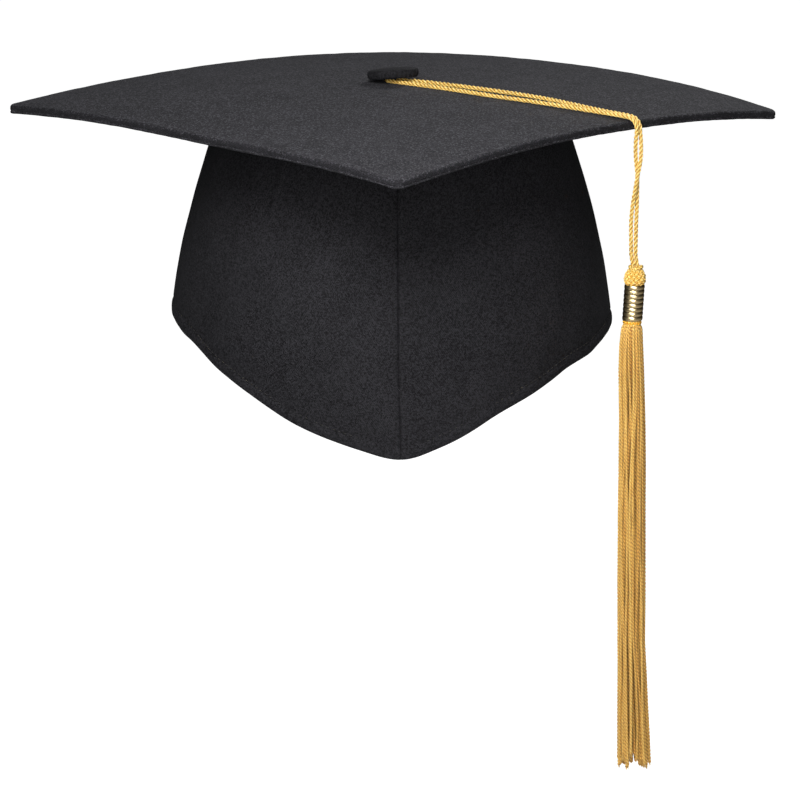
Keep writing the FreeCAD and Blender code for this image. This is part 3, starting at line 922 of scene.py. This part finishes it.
# ------------ cord
SWAY, SWING, SPIN = joint("tassel_sway"), joint("tassel_swing"), joint("tassel_spin")
PIVOT = np.array(SWING["pos_m"]) / MM
BEND_AT = np.array(SWAY["pos_m"]) / MM
SPIN_AT = np.array(SPIN["pos_m"]) / MM
RUN_AZ = math.atan2(PIVOT[1], PIVOT[0])
DROP_R = math.hypot(PIVOT[0], PIVOT[1])
START_X, START_Z = math.hypot(BEND_AT[0], BEND_AT[1]), BEND_AT[2]
SLOPE = math.asin(-SWAY["axis"][2])
BEND_R = (DROP_R - START_X) / (1 - math.sin(SLOPE))
BEND_X, BEND_Z = DROP_R - BEND_R, START_Z - BEND_R * math.cos(SLOPE)
CORD_R = 0.96
CORD_PITCH = 6.4
CORD_LIFT = 0.3          # the cord lies a little clear of the board near its edge
LEG_GAP = 1.3
STEP = 0.3               # spacing of the points that draw a leg
KNOT_LOW, KNOT_HIGH = box_mm("tassel_knot")
KNOT_TOP, KNOT_BASE = KNOT_HIGH[2], KNOT_LOW[2]
LOOP_R = 2.6


def to_row(p):
    """From the run's own frame, x along the cord's run, to the row frame."""
    x, y, z = np.asarray(p, float).T
    return points_at(*rotated(x, y, RUN_AZ), z)


def leg_on_board(side):
    """Leg from behind the post to the board's edge: the loop's two legs spread and close again."""
    turn = np.linspace(math.pi, math.pi / 2, 16)
    loop = points_at(LOOP_R * np.cos(turn), side * LOOP_R * np.sin(turn), 0.0)
    x = np.arange(STEP, START_X, STEP)
    spread_at = [0, 14, 34, 60, 80, 95, 108, START_X]
    half = np.interp(x, spread_at, [LOOP_R, 3.7, 4.8, 5.3, 4.7, 3.0, 1.6, LEG_GAP])
    flat = np.concatenate([loop, points_at(x, side * smooth(half, 300), 0.0)])
    laid = to_row(flat)
    start = to_row([START_X, 0, 0])
    rise = START_Z - (TOP_Z - bow(start[0], start[1])) - CORD_R
    out = flat[:, 0]
    wave = 0.25 * np.sin(out / 9.0 + side) * smoothstep(10, 30, out) * (1 - smoothstep(95, 110, out))
    height = TOP_Z - bow(laid[:, 0], laid[:, 1]) + CORD_R + 0.02 + CORD_LIFT * smoothstep(50, 90, out)
    flat[:, 2] = height + (rise - CORD_LIFT) * smoothstep(98, START_X + 4, out) ** 1.3
    flat[:, 1] += wave
    return flat


def leg_over_edge(side):
    a = np.arange(SLOPE, math.pi / 2, STEP / BEND_R)
    return points_at(BEND_X + BEND_R * np.sin(a), side * LEG_GAP, BEND_Z + BEND_R * np.cos(a))


def leg_hanging(side):
    """Leg from the edge down into the knot: the two legs turn about each other as they fall."""
    d = np.arange(0, BEND_Z - KNOT_TOP + 3.5, STEP)
    turned_at = [0, 1.5, 5, 10, 20, 38, 52, 70]
    azimuth = np.interp(d, turned_at, [56.3, 50, 26, 2, -90, -176, -202, -215])
    local = np.radians(smooth(azimuth, 60)) - RUN_AZ
    gap = np.interp(d, [0, 8, 16, 26, 40, 52, 62], [LEG_GAP, 1.25, 1.12, 1.0, 1.12, 1.02, 0.98])
    hang = -1.85 * smoothstep(12, 44, d) * (1 - smoothstep(54, 66, d))
    along = DROP_R + side * gap * np.cos(local) + hang * math.cos(-RUN_AZ)
    across = side * gap * np.sin(local) + hang * math.sin(-RUN_AZ)
    return points_at(along, across, BEND_Z - d)


def leg_path(side):
    """Centre line of one leg, from behind the post to the knot, in the run's frame."""
    legs = [leg_on_board(side), leg_over_edge(side), leg_hanging(side)]
    return resample(smooth(np.concatenate(legs), 14), 0.26)


def cord_stretches(leg, station, other):
    """Where the cord is cut: name, start and end along a leg, its body or blend, and nodes it replaces."""

    def station_at(test):
        return station[np.argmax(test)]

    def at(s):
        i = np.argmin(np.abs(station - s))
        both = (leg[i] + other[min(i, len(other) - 1)]) / 2
        return Vector(to_row(both) * MM)

    past_bend = leg[:, 0] > BEND_X
    height = leg[:, 2]
    run_end = station_at(leg[:, 0] > START_X - 3.0)
    mid_bend = station_at(past_bend & (height < BEND_Z + BEND_R * 0.72))
    drop_from = station_at(past_bend & (height < PIVOT[2] - 5.0))
    knot_from = station_at(past_bend & (height < SPIN_AT[2] + 7.0))
    knot_end = Vector(SPIN_AT * MM) - Vector((0, 0, 0.5 * MM))
    sway_blend = ("cord_run", "cord_bend", at(run_end), at(mid_bend))
    swing_blend = ("cord_bend", "cord_drop", at(mid_bend), at(drop_from))
    knot_blend = ("cord_drop", "tassel", at(knot_from), knot_end)
    return [
        ("cord_over_board", 0.0, run_end, "cord_run", ("cord_loop_run",)),
        ("cord_sway_turn", run_end, mid_bend, sway_blend, ("cord_bend_legs",)),
        ("cord_swing_turn", mid_bend, drop_from, swing_blend, ()),
        ("cord_hanging", drop_from, knot_from, "cord_drop", ("cord_drop_legs",)),
        ("cord_into_knot", knot_from, math.inf, knot_blend, ()),
    ]


def make_cord():
    """One laid rope from knot to knot, looped behind the post, cut into pieces where its bodies meet."""
    near, far = leg_path(1), leg_path(-1)
    near_s, far_s = lengths(near), lengths(far)
    whole = np.concatenate([far[::-1], near[1:]])
    along = np.concatenate([-far_s[::-1], near_s[1:]])
    p, uv, crest = rope_grid(to_row(whole), CORD_R, 3, CORD_PITCH, 24, shrink=end_taper(len(whole)))
    tone = 0.5 + 0.12 * waves(along, 0 * along, 30, 5, 71)[:, None] + 0 * crest
    overlap = 0.14
    for name, start, end, body, replaced in cord_stretches(near, near_s, far):
        if start == 0.0:
            parts = [np.abs(along) <= end + overlap]
        else:
            parts = [(along * sign >= start - overlap) & (along * sign <= end + overlap) for sign in (1, -1)]
        b = Builder()
        for part in parts:
            where = np.nonzero(part)[0]
            low, high = where[0], where[-1] + 1
            b.grid(p[low:high], uv[low:high], wrap=True, crest=crest[low:high], tone=tone[low:high])
        b.make(name, gold_cord, body, *replaced, slot="gold_cord")


# ------------ tassel
AXIS = np.array([SPIN_AT[0], SPIN_AT[1], 0.0])
BARREL_LOW, BARREL_HIGH = box_mm("tassel_barrel")
WRAP_LOW, WRAP_HIGH = box_mm("neck_wrap")
SKIRT_LOW, SKIRT_HIGH = box_mm("skirt_strands_outer")


def lean(z):
    """Sideways lean of the tassel as it hangs: barrel out of plumb, strands falling back below it."""
    down_skirt = [SKIRT_HIGH[2] - down for down in (140, 45, 20, 8)]
    heights = [SKIRT_LOW[2], *down_skirt, WRAP_LOW[2], KNOT_BASE, KNOT_TOP]
    return np.interp(z, heights, [0.1, -1.6, -1.8, -2.4, -2.5, -2.2, -1.15, -0.9])


def about_axis(r, a, z):
    """Point at a radius, angle and height about the tassel's leaning axis."""
    return points_at(AXIS[0] + lean(z) + r * np.cos(a), AXIS[1] + r * np.sin(a), z)


def turned(profile, around):
    """Surface of revolution about the tassel's leaning axis from (radius, z) pairs."""
    a = np.arange(around) / around * TAU
    r, z = np.array(profile).T
    return about_axis(r[:, None], a, z[:, None])


def make_knot():
    """Braided knot: a dome widest just above the barrel and drawn in round the cord, woven on the slant."""
    wide, tall = (KNOT_HIGH[0] - KNOT_LOW[0]) / 2 + 0.1, KNOT_TOP - KNOT_BASE
    heights = np.array([0.0, 0.1, 0.28, 0.5, 0.7, 0.86, 0.96, 1.0])
    widths = np.array([0.84, 0.96, 1.0, 0.95, 0.80, 0.58, 0.40, 0.30])
    level = np.linspace(0, 1, 130)
    r = wide * smooth(np.interp(level, heights, widths), 60)
    z = KNOT_BASE + tall * level
    s = lengths(points_at(r, 0.0, z))
    lon = np.arange(300) / 300 * TAU
    cells = 11
    cell = TAU * wide / cells
    u = lon * cells / TAU + s[:, None] / cell
    v = lon * cells / TAU - s[:, None] / cell
    across_u, across_v = u % 1 - 0.5, v % 1 - 0.5
    over = (np.floor(u) + np.floor(v)) % 2 == 0
    across, along = np.where(over, across_v, across_u), np.where(over, across_u, across_v)
    strand = np.cos(math.pi * across) ** 0.6 * (0.55 + 0.45 * np.cos(math.pi * along))
    laid = 0.5 + 0.5 * np.cos(TAU * (across * 2.2 + along * 2.6))
    out = -0.75 + 0.85 * strand + 0.10 * laid
    p = about_axis(r[:, None] + out, lon, z[:, None])
    b = Builder()
    around = np.linspace(0, TAU * wide, len(lon) + 1)
    uv = points_at(around, s[:, None])
    # The crest gives painted shade between the woven strands and their plies.
    b.grid(p, uv, wrap=True, crest=0.1 + 0.7 * strand + 0.2 * laid, tone=0.4)
    for side in (1, -1):
        k = np.linspace(0, TAU, 60)
        height = KNOT_TOP - 1.3 + 0.9 * side * np.cos(k)
        ring = points_at(AXIS[0] - 0.7 + 2.2 * np.cos(k) + 0.3 * side, AXIS[1] + 2.2 * np.sin(k), height)
        p, uv, crest = rope_grid(ring, 0.85, 3, 3.4, 14)
        b.grid(p, uv, wrap=True, crest=crest, tone=0.6)
    b.make("woven_knot", gold_cord, "tassel", "tassel_knot", slot="gold_cord")


def make_barrel():
    """Gilt barrel with flat ribs, closed in at both ends round the strands."""
    low, high = BARREL_LOW[2], BARREL_HIGH[2]
    wide = (BARREL_HIGH[0] - BARREL_LOW[0]) / 2
    ribs, steps, rib_depth = 8, 16, 0.32
    profile, crest = [(wide - 1.2, low + 0.25), (wide - 0.7, low + 0.02)], [0.1, 0.2]
    for i in range(ribs * steps + 1):
        swell = abs(math.sin(math.pi * i / steps)) ** 0.45
        profile.append((wide - rib_depth * (1 - swell), low + (high - low) * i / (ribs * steps)))
        crest.append(swell)
    profile += [(wide - 0.9, high), (wide - 1.4, high - 0.3)]
    crest += [0.2, 0.1]
    b = Builder()
    # The crest gives painted shade in the rib grooves and at the closed ends.
    b.grid(turned(profile, 120), wrap=True, crest=np.array(crest)[:, None])
    b.make("ribbed_barrel", gold_metal, "tassel", "tassel_barrel", slot="gold_metal")


def make_strand_heads():
    """The strands' gathered upper ends, inside the barrel and down through the wrap."""
    low, high = box_mm("strand_core")
    wide = (high[0] - low[0]) / 2 - 0.1
    z = np.linspace(low[2], high[2], 60)
    profile = [(0.05, z[0])] + [(wide, level) for level in z[1:-1]] + [(0.05, z[-1])]
    p = turned(profile, 120)
    ridges = np.abs(np.sin(np.arange(120) / 120 * TAU * 10))
    centre = p.mean(axis=1, keepdims=True)
    p = centre + (p - centre) * (0.93 + 0.07 * ridges[:, None])
    b = Builder()
    # The ridges give painted shade between the gathered strands.
    b.grid(p, wrap=True, flip=True, crest=ridges)
    b.make("gathered_heads", gold_strand, "tassel", "strand_core", slot="gold_strand")


def make_neck_wrap():
    """Turn of bright cord bound round the strands just under the barrel."""
    wide = (WRAP_HIGH[0] - WRAP_LOW[0]) / 2 + 0.5
    low, high = WRAP_LOW[2], WRAP_HIGH[2]
    r = (high - low) / 2 + 0.05
    a = np.linspace(0, TAU * 1.06, 260)
    z = (low + high) / 2 + 0.12 * np.sin(a)
    path = about_axis(wide - r, a + 1.4, z)
    p, uv, crest = rope_grid(path, r, 3, 4.4, 20, hand=-1, shrink=end_taper(len(path)))
    b = Builder()
    b.grid(p, uv, wrap=True, crest=crest, tone=0.6)
    b.make("bound_neck", orange_cord, "tassel", "neck_wrap", slot="orange_cord")


def skirt_radius(z):
    """Outer radius of the skirt of strands."""
    down = SKIRT_HIGH[2] - z
    return np.interp(down, [0, 2, 9, 20, 60, 140, 170, 195], [4.5, 4.9, 5.4, 5.8, 6.1, 6.45, 6.9, 7.3])


STRAND_R = 0.68
FRAYS = 4


def strand_path(r, seed, place, inset):
    """Centre line of one strand, which hangs nearly straight and drifts a little towards its tip."""
    top = SKIRT_HIGH[2] + 0.7
    tip = SKIRT_LOW[2] - 0.6 + min(abs(r.normal(0, 5.0)), 12) + 0.5 * inset * r.uniform(0, 1)
    z = np.arange(top, tip, -0.36)
    down = top - z
    count, i = place
    angle = TAU * (i + 0.35 * r.uniform(-1, 1)) / count + 0.22 * waves(z, 0 * z, 150, 4, seed)
    angle = angle + 0.12 * r.normal() * smoothstep(20, 190, down)
    radius = np.maximum(skirt_radius(z) - STRAND_R - inset * smoothstep(-4, 20, down), 0.1)
    stray = 0.14 * waves(z, 0 * z, 60, 5, seed + 1) * smoothstep(4, 60, down)
    radius = radius + stray + 0.35 * r.normal() * smoothstep(120, 195, down)
    return about_axis(radius, angle, z)


def add_strand(b, r, path, inset):
    """A two-ply strand, a little thicker where its cut end opens, with fine frayed fibres."""
    size = STRAND_R * r.uniform(0.93, 1.07)
    count = len(path)
    opened = 1 + 0.18 * smoothstep(count - 14, count - 4, np.arange(count))
    pitch = r.uniform(2.9, 3.5)
    phase = r.uniform(0, TAU)
    p, uv, crest = rope_grid(path, size, 2, pitch, 10, phase, -1, end_taper(count) * opened)
    # Each strand's random tone, less painted shade for strands lying further inside.
    tone = 0.5 + 0.13 * r.normal() - 0.05 * inset
    b.grid(p, uv, wrap=True, crest=crest, tone=tone)
    for _ in range(FRAYS if inset < 2 else 0):
        fray = path[-3] + np.array([r.normal(0, 0.35), r.normal(0, 0.35), 0])
        curl = np.array([r.normal(0, 0.5), r.normal(0, 0.5), 0])
        k = np.linspace(0, 1, 6)[:, None]
        whisker = fray + k * np.array([0, 0, -r.uniform(0.6, 2.0)]) + k**2 * curl
        p, uv, crest = rope_grid(whisker, 0.11, 3, 2.0, 6, shrink=end_taper(6, 2))
        b.grid(p, uv, wrap=True, crest=crest, tone=tone)


def make_skirt():
    """Strands in rings, each ring given as its number of strands and its inset from the outside."""
    for name, rings, node in (
        ("skirt_outside", ((25, 0.0), (19, 1.25)), "skirt_strands_outer"),
        ("skirt_inside", ((12, 2.6), (6, 3.9), (1, 5.2)), "skirt_strands_inner"),
    ):
        b = Builder()
        for count, inset in rings:
            for i in range(count):
                seed = int(rng.integers(1 << 30))
                r = np.random.default_rng(seed)
                add_strand(b, r, strand_path(r, seed, (count, i), inset), inset)
        b.make(name, gold_strand, "tassel", node, slot="gold_strand")


# ------------ build
make_board_cover()
make_board_underside()
make_board_core()
make_skullcap()
make_sweatband()
make_seam_tapes()
make_inner_stitches()
make_crown_lining()
make_button()
make_cord()
make_knot()
make_barrel()
make_strand_heads()
make_neck_wrap()
make_skirt()

KEPT_NODES = {
    "crown_stiffener": stiffener_card,
    "rivet_post": steel_in_painted_shade,
    "rivet_washer": steel_in_painted_shade,
    "button_shell": tin,
    "button_back": tin,
}
for node, material in KEPT_NODES.items():
    frame["nodes"][node].data.materials.clear()
    frame["nodes"][node].data.materials.append(material)

# ------------ stage
FLOOR_BELOW, FLOOR_HALF = 60, 9000
FRONT_LIGHT, TOP_LIGHT, SIDE_LIGHT = 0.02, 0.035, 0.012


def make_floor():
    """Pale floor, white to the camera, and clear when looked at from underneath."""
    drop = CAD_BOX[0][2] / MM - FLOOR_BELOW
    edge = np.linspace(-FLOOR_HALF, FLOOR_HALF, 9)
    b = Builder()
    b.grid(points_at(edge, edge[:, None], drop))
    s = Shader("floor_paint")
    s.set(Base_Color=(0.5, 0.5, 0.5, 1), Roughness=0.9, Specular_IOR_Level=0.1)
    seen = s.node("ShaderNodeLightPath").outputs["Is Camera Ray"]
    s.set(Emission_Color=(1.0, 1.0, 1.0, 1), Emission_Strength=seen)
    below = s.node("ShaderNodeNewGeometry").outputs["Backfacing"]
    s.set(Alpha=s.maths("SUBTRACT", 1.0, below))
    b.make("studio_floor", s.material, None)


def make_world():
    """White to the camera; for the lighting, a bright soft front and top between darker sides."""
    world = bpy.data.worlds.new("studio")
    bpy.context.scene.world = world
    world.use_nodes = True
    n = Nodes(world.node_tree)
    _, y, z = n.split(n.node("ShaderNodeTexCoord").outputs["Generated"])
    front = n.maths("MULTIPLY_ADD", y, -3.0, -1.5, clamp=True)
    top = n.maths("MULTIPLY_ADD", z, 2.2, -1.1, clamp=True)
    soft = n.add(n.add(n.mul(front, FRONT_LIGHT), n.mul(top, TOP_LIGHT)), SIDE_LIGHT)
    seen = n.node("ShaderNodeLightPath").outputs["Is Camera Ray"]
    unseen = n.mul(soft, n.maths("SUBTRACT", 1.0, seen))
    n.fill(n.tree.nodes["Background"], Color=(1, 1, 1, 1), Strength=n.maths("MAXIMUM", seen, unseen))


def add_area(name, place, target, size, power):
    """Round soft light at a place, turned towards a target."""
    light = bpy.data.lights.new(name, "AREA")
    light.shape = "DISK"
    light.size = size
    light.energy = power
    lamp = bpy.data.objects.new(name, light)
    bpy.context.scene.collection.objects.link(lamp)
    lamp.location = place
    lamp.rotation_mode = "QUATERNION"
    lamp.rotation_quaternion = (Vector(target) - Vector(place)).to_track_quat("-Z", "Y")


make_floor()
make_world()
add_area("front_light", (0.0, -2.3, 0.25), (0, 0, -0.05), 1.2, 23)
add_area("left_light", (-1.1, -2.0, 0.8), (0, 0, -0.05), 1.2, 7)
add_area("near_light", (-0.06, -0.47, 0.27), (0, -0.1, 0), 0.22, 3.0)
add_area("back_light", (0.35, 0.5, 0.6), (0, 0, 0), 0.4, 4.2)

# The camera stands a long way in front of the corner and a little above the board.
DISTANCE, ELEVATION, PITCH = 3.0, math.radians(9.377), math.radians(12.048)
YAW, SIDE_SHIFT = math.radians(-0.71), 0.0030
cam_data = bpy.data.cameras.new("camera")
cam_data.lens = 306.4
cam_data.sensor_width = 36
camera = bpy.data.objects.new("camera", cam_data)
bpy.context.scene.collection.objects.link(camera)


def seen_from_front(x, y, z):
    """A point in the camera's own upright frame, turned by the small yaw, with z from the board's top."""
    return Vector((*rotated(x, y, YAW), z + TOP_Z * MM))


stand_back, stand_up = DISTANCE * math.cos(ELEVATION), DISTANCE * math.sin(ELEVATION)
camera.location = seen_from_front(SIDE_SHIFT, -stand_back, stand_up)
aim = seen_from_front(SIDE_SHIFT, 0, stand_up - stand_back * math.tan(PITCH))
camera.rotation_mode = "QUATERNION"
camera.rotation_quaternion = (aim - camera.location).to_track_quat("-Z", "Y")
cam_data.clip_start, cam_data.clip_end = 0.05, 60
bpy.context.scene.camera = camera
bpy.context.scene.view_settings.view_transform = "Standard"
